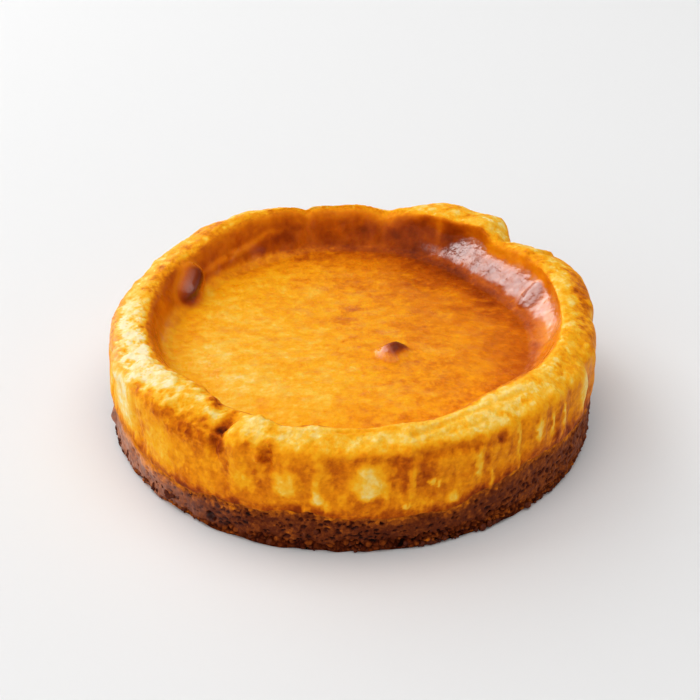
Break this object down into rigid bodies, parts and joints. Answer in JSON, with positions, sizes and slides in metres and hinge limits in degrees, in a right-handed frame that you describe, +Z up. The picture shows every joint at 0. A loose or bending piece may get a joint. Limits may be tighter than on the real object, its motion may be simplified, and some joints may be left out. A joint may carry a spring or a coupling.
{
  "type": "baked cheesecake",
  "caption": "Small round baked cheesecake with a raised, uneven browned rim round a sunken glossy top, on a thick dark biscuit crumb base.",
  "frame": {"origin": "centre of the flat underside of the crumb base", "axes": "+Z up through the cake, -Y towards the front, +X to the right"},
  "size_m": [0.1209, 0.1211, 0.0312],
  "materials": {
    "baked_filling": "baked cheesecake: matt yellow and orange-brown side and rim, glossy brown top",
    "biscuit_crumb": "pressed crumb of dark brown biscuit, rough, with pits and a little butter sheen"
  },
  "bodies": {
    "root": {"crumb_base": "biscuit_crumb", "cheesecake": "baked_filling"}
  },
  "joints": []
}
